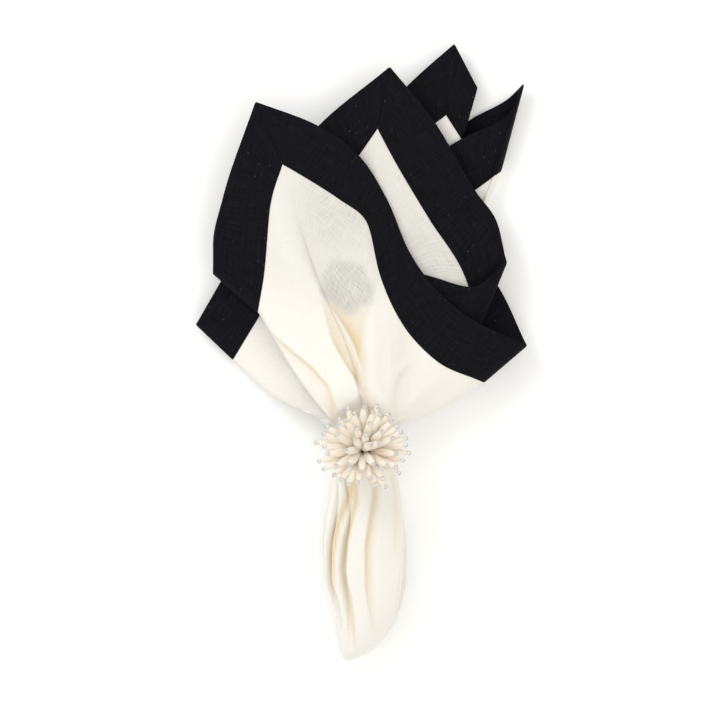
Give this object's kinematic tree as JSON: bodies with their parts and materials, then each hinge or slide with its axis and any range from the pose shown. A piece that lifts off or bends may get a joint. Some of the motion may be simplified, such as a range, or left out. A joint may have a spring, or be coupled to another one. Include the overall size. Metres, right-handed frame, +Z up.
{
  "type": "cloth napkin in a ring",
  "caption": "Square linen napkin with a wide mitred dark border, drawn by its centre through a round ring that carries a domed burst of long beads.",
  "frame": {"origin": "on the table, below the middle of the outline seen from above", "axes": "+Y from the gathered tail towards the four corners, +X to the right seen from above, +Z up off the table"},
  "size_m": [0.1951, 0.3634, 0.0676],
  "materials": {
    "white_linen": "matt plain weave linen",
    "black_linen": "matt plain weave linen",
    "ring_metal": "satin",
    "ivory_beads": "soft pearl gloss with clear tips"
  },
  "bodies": {
    "root": {"linen_ground": "white_linen", "border_ab": "black_linen", "border_bc": "black_linen", "border_cd": "black_linen", "border_da": "black_linen", "ring_band": "ring_metal", "bead_flower": "ivory_beads"}
  },
  "joints": []
}
